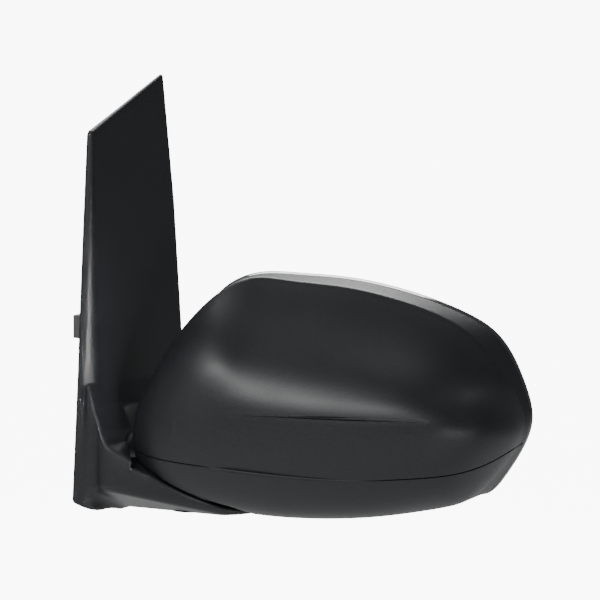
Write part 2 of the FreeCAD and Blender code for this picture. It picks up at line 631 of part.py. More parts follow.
wire_radius = dim("spring_wire")
coil_height = dim("spring_height") - 2 * wire_radius
helix = Part.makeHelix(coil_height / dim("spring_turns"), coil_height, dim("spring_radius"))
section = Part.Wire([Part.makeCircle(wire_radius, Vector(dim("spring_radius"), 0, 0),
                                     Vector(0, 1, 0))])
spring_shape = Part.Wire(helix.Edges).makePipeShell([section], True, True)
spring_shape.translate(Vector(0, 0, spring_base + wire_radius))
formed("fold_spring", spring_shape, AXIS)

clip = Part.makeCylinder(dim("clip_radius"), 1.1, Vector(0, 0, 49.65)).cut(
    Part.makeCylinder(7.1, 3, Vector(0, 0, 49))).cut(block((4, -3, 49), (14, 3, 52)))
formed("retaining_ring", clip, AXIS)

grommet = Part.makeCylinder(4.95, 6, Vector(0, 0, -6.8)).cut(
    Part.makeCylinder(3.2, 9, Vector(0, 0, -8)))
formed("cable_grommet", grommet, AXIS)

# ---- glass adjuster -------------------------------------------------------------------------
# In the adjuster's frame: x along u, y downwards, z rearward.
JACK = dim("jack_offset")
BASE_V = dim("housing_base_v")
TOP_V = dim("housing_top_v")
SHELL_R = dim("housing_radius")
PIVOT_V = dim("glass_pivot_v")
LID = dim("lid_thickness")
LID_BACK = TOP_V + LID
TILT_AT = (0.0, JACK)
PAN_AT = (JACK, 0.0)
GEAR_V = dim("gear_base_v")
WORM_V = dim("worm_v")
WORM_GAP = dim("gear_radius") + dim("worm_radius") + 0.35


def upright(radius, x, y, low, high):
    return Part.makeCylinder(radius, high - low, Vector(x, y, low))


housing = upright(SHELL_R, 0, 0, BASE_V, TOP_V)
housing = housing.cut(upright(SHELL_R - dim("housing_wall"), 0, 0, BASE_V + 2, TOP_V + 1))
HOUSING_SCREWS = [(-33, 14), (-6, -36), (30, 22)]
for x, y in HOUSING_SCREWS:
    housing = housing.fuse(upright(3.2, x, y, BASE_V, TOP_V))
    housing = housing.fuse(upright(3.2, x, y, frame_back, BASE_V))
for x, y in HOUSING_SCREWS:
    housing = housing.cut(upright(1.3, x, y, frame_back - 1, TOP_V + 1))
gear_seats = []
for x, y in (TILT_AT, PAN_AT):
    seat = upright(4.6, x, y, BASE_V, GEAR_V - 0.1).cut(upright(3.6, x, y, BASE_V - 1, GEAR_V + 1))
    housing = housing.fuse(seat).cut(upright(3.6, x, y, BASE_V - 1, GEAR_V + 1))
formed("actuator_housing", housing, ADJUST)

lid = upright(SHELL_R, 0, 0, TOP_V, LID_BACK)
for x, y in (TILT_AT, PAN_AT):
    lid = lid.cut(upright(dim("jack_ball_radius") + 0.6, x, y, TOP_V - 1, LID_BACK + 1))
PIN_R = dim("gimbal_pin")
REACH = dim("gimbal_reach")
for side in (-1, 1):
    ear_low = min(side * 12.2, side * REACH)
    ear = block((ear_low, -2.4, TOP_V + 0.5), (ear_low + REACH - 12.2, 2.4, PIVOT_V + 1.9))
    lid = lid.fuse(ear)
lid = lid.cut(rod(PIN_R + 0.05, (-20, 0, PIVOT_V), (20, 0, PIVOT_V)))
for x, y in HOUSING_SCREWS:
    lid = lid.cut(upright(1.7, x, y, TOP_V - 1, LID_BACK + 1))
    lid = lid.cut(upright(3.1, x, y, LID_BACK - 0.9, LID_BACK + 1))
lid = lid.cut(block((-30, -24, TOP_V - 1), (-18, -14, LID_BACK + 1)))
formed("actuator_cover", lid, ADJUST)

screws = []
for x, y in HOUSING_SCREWS:
    head = upright(2.9, x, y, LID_BACK - 0.85, LID_BACK + 0.2)
    screws.append(head.fuse(upright(1.28, x, y, 9.5, LID_BACK - 0.5)))
formed("actuator_screws", Part.makeCompound(screws), ADJUST)
frame_node = [n for n in nodes if n.Label == "head_frame"][0]
screw_holes = in_row(Part.makeCompound([upright(1.3, x, y, 0, 20) for x, y in HOUSING_SCREWS]),
                     ADJUST)
frame_node.Shape = in_row(frame_shape, HEAD).cut(screw_holes)

GIMBAL_HALF = 1.9
ring = upright(dim("gimbal_outer"), 0, 0, PIVOT_V - GIMBAL_HALF, PIVOT_V + GIMBAL_HALF)
ring = ring.cut(upright(dim("gimbal_inner"), 0, 0, 0, 60))
pin_holes = rod(PIN_R, (-20, 0, PIVOT_V), (20, 0, PIVOT_V)).fuse(
    rod(PIN_R, (0, -20, PIVOT_V), (0, 20, PIVOT_V)))
formed("gimbal_ring", ring.cut(pin_holes), ADJUST)
pins = []
for direction in ((1, 0), (-1, 0), (0, 1), (0, -1)):
    start = (direction[0] * 9.0, direction[1] * 9.0, PIVOT_V)
    end = (direction[0] * REACH, direction[1] * REACH, PIVOT_V)
    pins.append(rod(PIN_R, start, end))
formed("gimbal_pins", Part.makeCompound(pins), ADJUST)

# glass, heater and holder are slices of nested spheres inside the glass outline
GLASS_TOP = dim("glass_top_v")
CURVE = dim("glass_curve_radius")


def dished_slice(inset, top_v, thickness):
    """A plate of the glass outline, both faces on spheres round one centre, head frame."""
    reach = 125.0
    drop = CURVE - math.sqrt(CURVE ** 2 - reach ** 2)
    half = CURVE - math.sqrt(CURVE ** 2 - (reach / 2) ** 2)
    upper = Part.Arc(Vector(0, top_v, 0), Vector(reach / 2, top_v - half, 0),
                     Vector(reach, top_v - drop, 0)).toShape()
    low_v = top_v - thickness
    lower = Part.Arc(Vector(0, low_v, 0), Vector(reach / 2, low_v - half, 0),
                     Vector(reach, low_v - drop, 0)).toShape()
    sides = [Part.makeLine(Vector(reach, top_v - drop, 0), Vector(reach, low_v - drop, 0)),
             Part.makeLine(Vector(0, low_v, 0), Vector(0, top_v, 0))]
    face = Part.Face(Part.Wire(Part.__sortEdges__([upper, lower] + sides)))
    lens = face.revolve(Vector(0, 0, 0), Vector(0, 1, 0), 360)
    lens.translate(Vector(CENTRE_U, 0, CENTRE_W))
    return Part.Face(rim_wire(inset, 20)).extrude(Vector(0, 40, 0)).common(lens)


GLASS_INSET = dim("glass_inset")
glass_shape = dished_slice(GLASS_INSET + 0.9, GLASS_TOP, dim("glass_thickness"))
formed("mirror_glass", glass_shape, HEAD)
heater_top = GLASS_TOP - dim("glass_thickness")
heater_shape = dished_slice(GLASS_INSET + 5, heater_top, dim("heater_thickness"))
formed("heater_pad", heater_shape, HEAD)
holder_top = heater_top - dim("heater_thickness")
holder = dished_slice(GLASS_INSET, holder_top, dim("holder_thickness"))
holder_rim = dished_slice(GLASS_INSET, GLASS_TOP - 0.6, 3.0).cut(
    Part.Face(rim_wire(GLASS_INSET + 0.8, 20)).extrude(Vector(0, 40, 0)))
holder = in_row(holder.fuse(holder_rim), HEAD)
holder = in_row(holder, ADJUST.inverse())
holder_face = holder_top - dim("holder_thickness")
for side in (-1, 1):
    ear_low = min(side * 12.2, side * REACH)
    ear = block((-2.4, ear_low, PIVOT_V - 1.9), (2.4, ear_low + REACH - 12.2, holder_face + 1))
    holder = holder.fuse(ear)
holder = holder.cut(rod(PIN_R + 0.05, (0, -20, PIVOT_V), (0, 20, PIVOT_V)))
for x, y in (TILT_AT, PAN_AT):
    cup = upright(dim("cup_radius"), x, y, 33.2, holder_face + 0.6)
    holder = holder.fuse(cup).cut(upright(dim("cup_bore"), x, y, 30, holder_face + 0.1))
tabs = []
for y in (-16, 8):
    tabs.append(block((-62, y, 34.6), (-56, y + 0.8, 37.4)))
formed("glass_holder", holder.cut(Part.makeCompound(tabs)), ADJUST)

formed("heater_terminals", Part.makeCompound(tabs), ADJUST)

BALL_V = dim("jack_ball_v")
for label, (x, y) in (("tilt_jack", TILT_AT), ("pan_jack", PAN_AT)):
    stem = upright(dim("jack_radius"), x, y, dim("jack_base_v"), BALL_V)
    ball = Part.makeSphere(dim("jack_ball_radius"), Vector(x, y, BALL_V))
    formed(label, stem.fuse(ball), ADJUST)

TEETH = 24
for label, (x, y) in (("tilt_gear", TILT_AT), ("pan_gear", PAN_AT)):
    outer_r = dim("gear_radius")
    gear = upright(outer_r, x, y, GEAR_V, GEAR_V + dim("gear_height"))
    for tooth in range(TEETH):
        angle = 2 * math.pi * tooth / TEETH
        gear = gear.cut(upright(0.55, x + outer_r * math.cos(angle), y + outer_r * math.sin(angle),
                                GEAR_V - 1, GEAR_V + 8))
    gear = gear.fuse(upright(4.0, x, y, GEAR_V, dim("gear_hub_top_v")))
    gear = gear.cut(upright(dim("jack_radius") + 0.06, x, y, GEAR_V - 1, 30))
    formed(label, gear, ADJUST)


def worm_at(start, direction):
    """A worm between two plain journals, along one direction."""
    axis = Vector(*direction)
    half = dim("worm_length") / 2
    centre = Vector(*start)
    low = centre - axis * (half + 2)
    solid = Part.makeCylinder(dim("worm_core"), 2 * half + 4, low, axis)
    pitch = 2.2
    for turn in range(5):
        foot = centre + axis * (-half + 0.2 + turn * pitch)
        solid = solid.fuse(Part.makeCone(dim("worm_core"), dim("worm_radius"), 0.6, foot, axis))
        solid = solid.fuse(Part.makeCone(dim("worm_radius"), dim("worm_core"), 0.6,
                                         foot + axis * 0.6, axis))
    return solid


tilt_worm_at = (0.0, JACK - WORM_GAP, WORM_V)
pan_worm_at = (JACK - WORM_GAP, 0.0, WORM_V)
formed("tilt_worm", worm_at(tilt_worm_at, (1, 0, 0)), ADJUST)
formed("pan_worm", worm_at(pan_worm_at, (0, 1, 0)), ADJUST)

motor_r = dim("motor_radius") - 1.2
motor_l = dim("motor_length")
shaft_gap = 0.4
half_worm = dim("worm_length") / 2 + 2 + shaft_gap
motor_v = WORM_V + 2.0
tilt_motor = rod(motor_r, (-half_worm - motor_l, tilt_worm_at[1], motor_v),
                 (-half_worm, tilt_worm_at[1], motor_v))
pan_motor = rod(motor_r, (pan_worm_at[0], -half_worm - motor_l, motor_v),
                (pan_worm_at[0], -half_worm, motor_v))
formed("tilt_motor", tilt_motor, ADJUST)
formed("pan_motor", pan_motor, ADJUST)
inlet = block((-29.5, -23.5, BASE_V + 2.1), (-18.5, -14.5, LID_BACK + 1.2))
inlet = inlet.cut(block((-28, -22, TOP_V - 4), (-20, -16, LID_BACK + 3)))
formed("actuator_socket", inlet, ADJUST)

# ---- hand over ------------------------------------------------------------------------------
doc.recompute()
os.makedirs("parts", exist_ok=True)
for item in doc.Objects:
    if "Invalid" in item.State or "Error" in item.State:
        raise RuntimeError("failed object " + item.Name)
names = [item.Label for item in nodes]
if len(set(names)) != len(names):
    raise RuntimeError("two sub-parts share a name")
for item in nodes:
    if item.Shape.isNull() or not item.Shape.isValid():
        raise RuntimeError("bad shape " + item.Label)
    item.Shape.exportStep("parts/%s.step" % item.Label)
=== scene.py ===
import json
import math

import bmesh
import bpy
import numpy as np
import openvdb
from mathutils import Matrix, Vector


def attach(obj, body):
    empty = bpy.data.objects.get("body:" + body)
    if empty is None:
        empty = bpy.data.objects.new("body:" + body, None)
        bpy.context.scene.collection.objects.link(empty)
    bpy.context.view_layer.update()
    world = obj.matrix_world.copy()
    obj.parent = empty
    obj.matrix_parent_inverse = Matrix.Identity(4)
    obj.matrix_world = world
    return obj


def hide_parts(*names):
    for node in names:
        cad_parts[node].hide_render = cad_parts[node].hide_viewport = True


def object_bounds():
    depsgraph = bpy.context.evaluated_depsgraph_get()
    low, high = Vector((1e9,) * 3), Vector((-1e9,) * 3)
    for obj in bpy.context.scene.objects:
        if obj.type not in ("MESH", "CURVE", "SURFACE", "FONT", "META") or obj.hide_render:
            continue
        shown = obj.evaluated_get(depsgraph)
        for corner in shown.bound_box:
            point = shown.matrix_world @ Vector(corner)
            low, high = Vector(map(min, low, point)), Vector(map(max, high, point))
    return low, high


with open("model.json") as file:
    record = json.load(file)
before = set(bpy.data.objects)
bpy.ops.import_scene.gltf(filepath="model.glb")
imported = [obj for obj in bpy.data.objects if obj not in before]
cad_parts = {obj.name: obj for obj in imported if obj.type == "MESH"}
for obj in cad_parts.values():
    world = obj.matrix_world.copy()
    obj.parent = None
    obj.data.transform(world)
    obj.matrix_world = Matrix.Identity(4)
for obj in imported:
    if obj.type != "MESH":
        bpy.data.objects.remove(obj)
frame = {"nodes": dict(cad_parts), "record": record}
cad_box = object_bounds()

MM = 0.001

# ---- the head's frame, in millimetres -------------------------------------------------------
# Its origin is on the fold axis, u runs outboard along the head and v to the rear; w is up.
PIVOT = np.array([62.0, -6.8, -24.8])
TURN = math.radians(15)
LEAN = math.radians(21)
U_DIR = np.array([math.cos(TURN), math.sin(TURN), 0.0])
V_DIR = np.array([-math.sin(TURN), math.cos(TURN), 0.0])


def to_row(points):
    """Head-frame (u, v, w) millimetres to row-frame metres."""
    p = np.asarray(points, float)
    row = PIVOT + p[..., 0:1] * U_DIR + p[..., 1:2] * V_DIR
    row[..., 2] += p[..., 2]
    return row * MM


# ---- driving dimensions of the head ---------------------------------------------------------
# Each direction round the head: rim (u, w), ring of fullest girth or crease (u, v, w),
# crease angle in degrees and roundness of the nose side.
DIRECTIONS = np.array([
    (197, 40, 196, 27, 40, 0, 0.60),
    (194, 64, 190.5, 23, 65, 12, 0.60),
    (184.5, 85, 179, 17, 82, 42, 0.50),
    (170, 100.6, 165, 16, 98.1, 50, 0.42),
    (146, 111.9, 143, 16, 110.7, 50, 0.38),
    (118, 120.4, 115, 16, 119.2, 50, 0.36),
    (86, 126.2, 85, 16, 124.7, 50, 0.36),
    (56, 127.9, 53, 16, 127.3, 50, 0.38),
    (32, 128, 28, 15, 128, 46, 0.42),
    (12, 121.5, 6, 7, 115.5, 22, 0.50),
    (-3, 105, -15, 2, 91, 0, 0.55),
    (-12, 78, -32.5, 0, 61, 0, 0.55),
    (-15.5, 47, -40, 0, 37, 0, 0.55),
    (-12, 21, -36, 0, 14, 0, 0.55),
    (-2, 4, -14, -6, -3, 0, 0.55),
    (38, -3.5, 30, -13, -10.5, 0, 0.55),
    (86, -6, 68, -16, -12.3, 0, 0.55),
    (128, -4.5, 112, -14, -10.2, 0, 0.55),
    (158, -1.5, 150, -4, -5, 0, 0.55),
    (172, 0, 168, 10, 0, 0, 0.55),
    (184, 14, 183, 20, 15.5, 0, 0.55),
])
NOSE = np.array([95.0, -51.0, 54.0])
NOSE_FROM = 40.0
NOSE_TO = 172.0
RIDGE_BOW = 0.0016              # how fast the nose ridge falls back to both ends
RIM_V = 34.0
HANDLE = 0.55                   # reach of a profile's first handle, as a share of its depth
MAX_CREASE = 60                 # degrees
CREASE_ROUND = 1.3
WALL = 2.6
PARTING = np.array([(-70, 25), (-45, 24), (10, 20.5), (60, 17.5), (107, 16.3), (155, 19.1),
                    (187, 26.7), (200, 36), (215, 50)])
PARTING_GAP = 0.8
FOLD_DISH = np.array([(0, 0), (17, 0), (27, 1.6), (37, 3.8), (400, 3.8)])
FOLD_GAP = 1.2
ARM_CLEARANCE = 0.6
AROUND = 16                     # samples between two directions
RIM_SAMPLES = 40                # from the rim to the ring of fullest girth
NOSE_SAMPLES = 300              # from that ring to the nose
PROFILE_STEPS = 360
BLUR_PAD = 24


def closed_spline(points, samples):
    """A closed cubic spline with one knot per point, sampled evenly in its parameter."""
    p = np.asarray(points, float)
    n = len(p)
    system = np.zeros((n, n))
    right = np.zeros_like(p)
    for i in range(n):
        system[i, i - 1] += 1
        system[i, i] += 4
        system[i, (i + 1) % n] += 1
        right[i] = 3 * (p[(i + 1) % n] - p[i - 1])
    slopes = np.linalg.solve(system, right)
    out = []
    for i in range(n):
        j = (i + 1) % n
        for x in np.arange(samples) / samples:
            a = 2 * x ** 3 - 3 * x ** 2 + 1
            b = x ** 3 - 2 * x ** 2 + x
            c = -2 * x ** 3 + 3 * x ** 2
            d = x ** 3 - x ** 2
            out.append(a * p[i] + b * slopes[i] + c * p[j] + d * slopes[j])
    return np.array(out)


def open_spline(points, x):
    """Natural cubic through (x, y) points, read at x."""
    p = np.asarray(points, float)
    n = len(p)
    h = np.diff(p[:, 0])
    system = np.eye(n)
    right = np.zeros(n)
    for i in range(1, n - 1):
        system[i, i - 1] = h[i - 1]
        system[i, i] = 2 * (h[i - 1] + h[i])
        system[i, i + 1] = h[i]
        right[i] = 6 * ((p[i + 1, 1] - p[i, 1]) / h[i] - (p[i, 1] - p[i - 1, 1]) / h[i - 1])
    bend = np.linalg.solve(system, right)
    x = np.clip(np.asarray(x, float), p[0, 0], p[-1, 0])
    k = np.clip(np.searchsorted(p[:, 0], x) - 1, 0, n - 2)
    t = x - p[k, 0]
    s = p[k + 1, 0] - x
    step = h[k]
    return ((bend[k] * s ** 3 + bend[k + 1] * t ** 3) / (6 * step)
            + (p[k, 1] / step - bend[k] * step / 6) * s
            + (p[k + 1, 1] / step - bend[k + 1] * step / 6) * t)


def inset_outline(points, inset):
    """Each point of a closed outline moved inside, square to its neighbours."""
    p = np.asarray(points, float)
    along = np.roll(p, -1, 0) - np.roll(p, 1, 0)
    along /= np.linalg.norm(along, axis=1, keepdims=True)
    return p + inset * np.stack([-along[:, 1], along[:, 0]], 1)


def blur_rows(values, sigma):
    """Gaussian blur along axis 0 of an array that is already padded."""
    reach = int(3 * sigma)
    kernel = np.exp(-0.5 * (np.arange(-reach, reach + 1) / sigma) ** 2)
    kernel /= kernel.sum()
    out = np.zeros_like(values)
    for weight, shift in zip(kernel, range(-reach, reach + 1)):
        out += weight * np.roll(values, shift, 0)
    return out


def head_grid(inset=0.0):
    """Rows of (u, v, w) from the rim to the nose, columns round the head."""
    table = DIRECTIONS.copy()
    table[:, 0:2] = inset_outline(table[:, 0:2], inset)
    ring = inset_outline(table[:, [2, 4]], inset)
    table[:, 2] = ring[:, 0]
    table[:, 4] = ring[:, 1]
    t = closed_spline(table, AROUND)
    rim = np.stack([t[:, 0], np.full(len(t), RIM_V), t[:, 1]], 1)
    ring = t[:, 2:5]
    crease = np.radians(np.clip(t[:, 5], 0, MAX_CREASE))
    # the nose is a level ridge, so each profile has its own end on it
    middle = (NOSE_FROM + NOSE_TO) / 2
    half = (NOSE_TO - NOSE_FROM) / 2
    end_u = middle + half * np.tanh((ring[:, 0] - middle) / half)
    end_u += NOSE[0] - middle
    nose_v = NOSE[1] + inset + RIDGE_BOW * (end_u - NOSE[0]) ** 2
    out_u = ring[:, 0] - end_u
    out_w = ring[:, 2] - NOSE[2]
    reach = np.hypot(out_u, out_w)
    depth = ring[:, 1] - nose_v
    r1 = reach - HANDLE * depth * np.sin(crease)
    v1 = ring[:, 1] - HANDLE * depth * np.cos(crease)
    r2 = t[:, 6] * reach
    dense = []
    for share in np.linspace(0, 1, RIM_SAMPLES, endpoint=False):
        dense.append(rim + (ring - rim) * share)
    for share in np.linspace(0, 1, NOSE_SAMPLES):
        rest = 1 - share
        c = (rest ** 3, 3 * share * rest ** 2, 3 * share ** 2 * rest, share ** 3)
        radius = c[0] * reach + c[1] * r1 + c[2] * r2
        v = c[0] * ring[:, 1] + c[1] * v1 + (c[2] + c[3]) * nose_v
        dense.append(np.stack([end_u + out_u / reach * radius, v,
                               NOSE[2] + out_w / reach * radius], 1))
    dense = np.array(dense)
    # even steps along each profile, so that the blur rounds only the crease
    even = np.zeros((PROFILE_STEPS, dense.shape[1], 3))
    lengths = np.zeros(dense.shape[1])
    for k in range(dense.shape[1]):
        line = dense[:, k]
        run = np.concatenate([[0], np.cumsum(np.linalg.norm(np.diff(line, axis=0), axis=1))])
        lengths[k] = run[-1]
        for axis in range(3):
            even[:, k, axis] = np.interp(np.linspace(0, run[-1], PROFILE_STEPS), run,
                                         line[:, axis])
    before = 2 * even[0] - even[1:BLUR_PAD + 1][::-1]
    after = even[-BLUR_PAD - 1:-1][::-1].copy()
    after[:, :, 0:3:2] = 2 * even[-1][:, 0:3:2] - after[:, :, 0:3:2]
    padded = np.concatenate([before, even, after])
    sigma = CREASE_ROUND / (lengths.mean() / PROFILE_STEPS)
    return blur_rows(padded, sigma)[BLUR_PAD:-BLUR_PAD]


def blur_map(values, sigma):
    """Gaussian blur of a square map along both of its axes."""
    for axis in (0, 1):
        values = np.moveaxis(blur_rows(np.moveaxis(values, axis, 0), sigma), 0, axis)
    return values


def soften_nose(grid):
    """Blur the nose as a height map, so that the profiles meet there without a star."""
    cell = 1.5
    half = 110
    front_to_v = 20
    fill_sigma, soft_sigma = 1.0, 5.0
    least_weight = 1e-3
    ridge_half, fade_from, fade_width = 60, 34, 22
    size = int(2 * half / cell)
    flat = grid.reshape(-1, 3)
    iu = ((flat[:, 0] - NOSE[0] + half) / cell).astype(int)
    iw = ((flat[:, 2] - NOSE[2] + half) / cell).astype(int)
    front = (flat[:, 1] < front_to_v) & (iu >= 0) & (iu < size) & (iw >= 0) & (iw < size)
    total = np.zeros((size, size))
    count = np.zeros((size, size))
    np.add.at(total, (iu[front], iw[front]), flat[front, 1])
    np.add.at(count, (iu[front], iw[front]), 1)
    mean = total / np.maximum(count, 1)
    known = (count > 0).astype(float)
    for sigma in (fill_sigma, soft_sigma):
        value = blur_map(mean * known, sigma)
        weight = blur_map(known, sigma)
        mean = np.where(weight > least_weight, value / np.maximum(weight, least_weight), mean)
        known = (weight > least_weight).astype(float)
    fu = (grid[..., 0] - NOSE[0] + half) / cell - 0.5
    fw = (grid[..., 2] - NOSE[2] + half) / cell - 0.5
    cu = np.clip(fu.astype(int), 0, size - 2)
    cw = np.clip(fw.astype(int), 0, size - 2)
    au = np.clip(fu - cu, 0, 1)
    aw = np.clip(fw - cw, 0, 1)
    smooth = ((1 - au) * (1 - aw) * mean[cu, cw] + au * (1 - aw) * mean[cu + 1, cw]
              + (1 - au) * aw * mean[cu, cw + 1] + au * aw * mean[cu + 1, cw + 1])
    past = np.maximum(np.abs(grid[..., 0] - NOSE[0]) - ridge_half, 0)
    far = np.hypot(past, grid[..., 2] - NOSE[2])
    mix = np.clip((fade_from - far) / fade_width, 0, 1)
    mix = mix * mix * (3 - 2 * mix)
    out = grid.copy()
    out[..., 1] = grid[..., 1] * (1 - mix) + smooth * mix
    return out


def about_fold(p):
    """Head-frame points as (height along the fold axis, distance from it)."""
    along = p[..., 0] * math.sin(LEAN) + p[..., 2] * math.cos(LEAN)
    across = p[..., 0] * math.cos(LEAN) - p[..., 2] * math.sin(LEAN)
    return along, np.hypot(across, p[..., 1])


def fold_height(p):
    """Height of head-frame points above the fold surface."""
    along, radius = about_fold(p)
    return along - np.interp(radius, FOLD_DISH[:, 0], FOLD_DISH[:, 1])


def parting_height(p):
    """Height of head-frame points above the seam between cap and cover."""
    return p[..., 2] - open_spline(PARTING, p[..., 0])


# ---- mesh helpers ---------------------------------------------------------------------------
def new_object(name, mesh):
    obj = bpy.data.objects.new(name, mesh)
    bpy.context.scene.collection.objects.link(obj)
    return obj


def mesh_from(name, points_m, faces):
    mesh = bpy.data.meshes.new(name)
    mesh.from_pydata([tuple(p) for p in points_m], [], faces)
    mesh.validate()
    mesh.update()
    return new_object(name, mesh)


def smooth_by_angle(obj, degrees):
    mesh = obj.data
    mesh.shade_smooth()
    mesh.set_sharp_from_angle(angle=math.radians(degrees))


def apply_modifiers(obj):
    bpy.context.view_layer.update()
    graph = bpy.context.evaluated_depsgraph_get()
    mesh = bpy.data.meshes.new_from_object(obj.evaluated_get(graph))
    old = obj.data
    obj.modifiers.clear()
    obj.data = mesh
    bpy.data.meshes.remove(old)


def cut_by(bm, height):
    """Keep the part of a mesh where height(points) is positive; new vertices lie on zero."""
    layer = bm.verts.layers.float_vector.new("place")
    for vert in bm.verts:
        vert[layer] = vert.co
    points = np.array([v.co[:] for v in bm.verts])
    for vert, value in zip(bm.verts, height(points)):
        vert.co.z = value
    bmesh.ops.bisect_plane(bm, geom=bm.verts[:] + bm.edges[:] + bm.faces[:], dist=1e-5,
                           plane_co=(0, 0, 0), plane_no=(0, 0, 1), clear_inner=True)
    for vert in bm.verts:
        vert.co = vert[layer]
    bm.verts.layers.float_vector.remove(layer)


def face_outward(obj):
    """Turn every face of a closed mesh to the outside."""
    bm = bmesh.new()
    bm.from_mesh(obj.data)
    bmesh.ops.recalc_face_normals(bm, faces=bm.faces[:])
    bm.to_mesh(obj.data)
    bm.free()


def rows_to_faces(rows, columns):
    """Quads between rows of points, each row a closed ring."""
    faces = []
    for i in range(rows - 1):
        for j in range(columns):
            k = (j + 1) % columns
            faces.append((i * columns + j, i * columns + k,
                          (i + 1) * columns + k, (i + 1) * columns + j))
    return faces


def torus_faces(rows, columns):
    """The same, with the last row joined back to the first."""
    faces = rows_to_faces(rows, columns)
    last = (rows - 1) * columns
    for j in range(columns):
        k = (j + 1) % columns
        faces.append((last + j, last + k, k, j))
    return faces


# ---- head covers ----------------------------------------------------------------------------
RIM_ROWS_TO = 60                # profile steps near the rim, kept closer together
NOSE_ROWS_TO = 354
RIM_ROWS = 46
NOSE_ROWS = 70
LIP_ROUND = 0.45
LIP_FROM_ANGLE = 62             # degrees between faces that count as a lip
COVER_SMOOTH_ANGLE = 40

full = soften_nose(head_grid())
row_at = np.unique(np.concatenate([np.linspace(0, RIM_ROWS_TO, RIM_ROWS),
                                   np.linspace(RIM_ROWS_TO, NOSE_ROWS_TO, NOSE_ROWS)]).astype(int))
grid = full[row_at]
ROWS, COLUMNS = grid.shape[:2]


def cover_piece(name, heights):
    """A cover cut from the head's form, given thickness and rounded lips."""
    bm = bmesh.new()
    verts = [bm.verts.new(p) for p in grid.reshape(-1, 3)]
    for face in rows_to_faces(ROWS, COLUMNS):
        bm.faces.new([verts[k] for k in face])
    last = (ROWS - 1) * COLUMNS
    bm.faces.new(verts[last:])
    for height in heights:
        cut_by(bm, height)
    bmesh.ops.remove_doubles(bm, verts=bm.verts[:], dist=0.02)
    bmesh.ops.recalc_face_normals(bm, faces=bm.faces[:])
    mesh = bpy.data.meshes.new(name)
    bm.to_mesh(mesh)
    bm.free()
    coords = np.array([v.co[:] for v in mesh.vertices])
    mesh.vertices.foreach_set("co", to_row(coords).ravel())
    obj = new_object(name, mesh)
    solid = obj.modifiers.new("wall", "SOLIDIFY")
    solid.thickness = WALL * MM
    solid.offset = -1
    solid.use_even_offset = False
    bevel = obj.modifiers.new("lip", "BEVEL")
    bevel.width = LIP_ROUND * MM
    bevel.segments = 2
    bevel.limit_method = "ANGLE"
    bevel.angle_limit = math.radians(LIP_FROM_ANGLE)
    bevel.use_clamp_overlap = True
    apply_modifiers(obj)
    smooth_by_angle(obj, COVER_SMOOTH_ANGLE)
    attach(obj, "head")
    return obj


upper_cap = cover_piece("upper_cap_shell", [
    lambda p: parting_height(p) - PARTING_GAP / 2,
    lambda p: fold_height(p) - FOLD_GAP / 2])
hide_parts("upper_cap")
lower_cover = cover_piece("lower_cover_shell", [
    lambda p: -parting_height(p) - PARTING_GAP / 2,
    lambda p: fold_height(p) - FOLD_GAP / 2])
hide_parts("lower_cover")


HUB_HOLE_RADIUS = 16.5
FLOOR_RADII = np.concatenate([[HUB_HOLE_RADIUS], np.linspace(17, 45, 15)])
FLOOR_TURNS = 120
FLOOR_INSET = 1.0               # the floor stops this far inside the cover's skin


def lower_floor():
    """The dished floor of the lower cover, over the arm, with its hole for the hub."""
    under_side = FOLD_GAP / 2
    rings = []
    for order, extra in ((FLOOR_RADII, under_side), (FLOOR_RADII[::-1], under_side + WALL)):
        for r in order:
            z = np.interp(r, FOLD_DISH[:, 0], FOLD_DISH[:, 1]) + extra
            angle = np.linspace(0, 2 * math.pi, FLOOR_TURNS, endpoint=False)
            a = r * np.cos(angle)
            u = a * math.cos(LEAN) + z * math.sin(LEAN)
            w = -a * math.sin(LEAN) + z * math.cos(LEAN)
            rings.append(np.stack([u, r * np.sin(angle), w], 1))
    floor = mesh_from("lower_cover_floor", to_row(np.concatenate(rings)),
                      torus_faces(len(rings), FLOOR_TURNS))
    inside = head_grid(inset=FLOOR_INSET)[::6]
    rows, columns = inside.shape[:2]
    body = rows_to_faces(rows, columns)
    body.append(tuple(range(columns))[::-1])
    body.append(tuple(range((rows - 1) * columns, rows * columns)))
    form = mesh_from("form_tool", to_row(inside.reshape(-1, 3)), body)
    face_outward(floor)
    face_outward(form)
    trim = floor.modifiers.new("trim", "BOOLEAN")
    trim.operation = "INTERSECT"
    trim.solver = "EXACT"
    trim.object = form
    apply_modifiers(floor)
    bpy.data.objects.remove(form)
    smooth_by_angle(floor, 35)
    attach(floor, "head")
    return floor


cover_floor = lower_floor()

# ---- bezel round the glass ------------------------------------------------------------------
RIM_POINTS = DIRECTIONS[:, 0:2]
# Round the section of the ring: inset from the rim, and v.
BEZEL_PROFILE = [(1.6, 34.1), (-0.2, 34.6), (-0.9, 36.5), (-0.9, 39), (-0.2, 41.2), (1.2, 42.9),
                 (3.0, 43.8), (4.6, 43.9), (6.4, 43.2), (8.0, 41.9), (8.9, 40.2), (9.1, 38.0),
                 (9.1, 35.0), (8.9, 34.2), (5.0, 34.1)]


def lifted_off_arm(points):
    """Head-frame points raised where they would dip into the surface the head folds on."""
    short = FOLD_GAP / 2 + ARM_CLEARANCE - fold_height(points)
    out = points.copy()
    out[:, 2] += np.maximum(short, 0) / math.cos(LEAN)
    return out


def swept_ring(name, profile, body):
    """A closed ring: each profile point is an inset of the rim outline and a v."""
    rings = []
    for inset, v in profile:
        outline = closed_spline(inset_outline(RIM_POINTS, inset), AROUND)
        rings.append(np.stack([outline[:, 0], np.full(len(outline), v), outline[:, 1]], 1))
    points = lifted_off_arm(np.concatenate(rings))
    obj = mesh_from(name, to_row(points), torus_faces(len(rings), len(rings[0])))
    face_outward(obj)
    smooth_by_angle(obj, 40)
    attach(obj, body)
    return obj


bezel = swept_ring("bezel_ring", BEZEL_PROFILE, "head")
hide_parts("glass_bezel")

